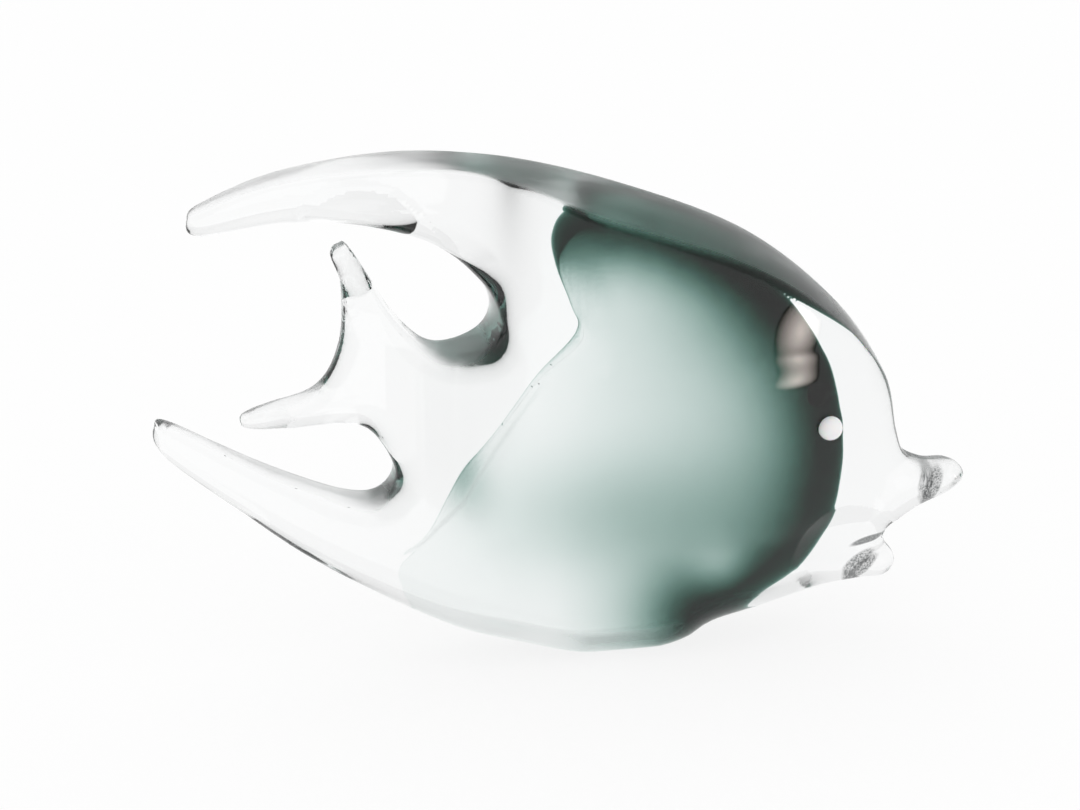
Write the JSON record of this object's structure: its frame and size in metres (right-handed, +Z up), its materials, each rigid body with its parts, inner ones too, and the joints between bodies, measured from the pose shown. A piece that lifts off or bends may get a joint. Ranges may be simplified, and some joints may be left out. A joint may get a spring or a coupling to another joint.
{
  "type": "fish figurine",
  "caption": "Solid clear-glass fish with a smoky teal core, swept-back fins, forked tail, pouting lips and dab eyes, standing on a ground flat under its belly",
  "frame": {"origin": "middle of the ground flat under the belly, on the surface that the fish stands on", "axes": "+X towards the head, +Y towards the fish's left side, +Z up"},
  "size_m": [0.2474, 0.0522, 0.1586],
  "materials": {
    "clear_glass": "fire-polished clear glass with a faint grey-green cast",
    "tinted_glass": "smoky teal transparent glass",
    "milk_glass": "milky white fire-polished glass"
  },
  "bodies": {
    "root": {"body_casing": "clear_glass", "tinted_core": "tinted_glass", "inner_heart": "clear_glass", "dorsal_fin": "clear_glass", "anal_fin": "clear_glass", "upper_tail_lobe": "clear_glass", "lower_tail_lobe": "clear_glass", "upper_lip": "clear_glass", "lower_lip": "clear_glass", "left_eye": "milk_glass", "right_eye": "milk_glass"}
  },
  "joints": []
}
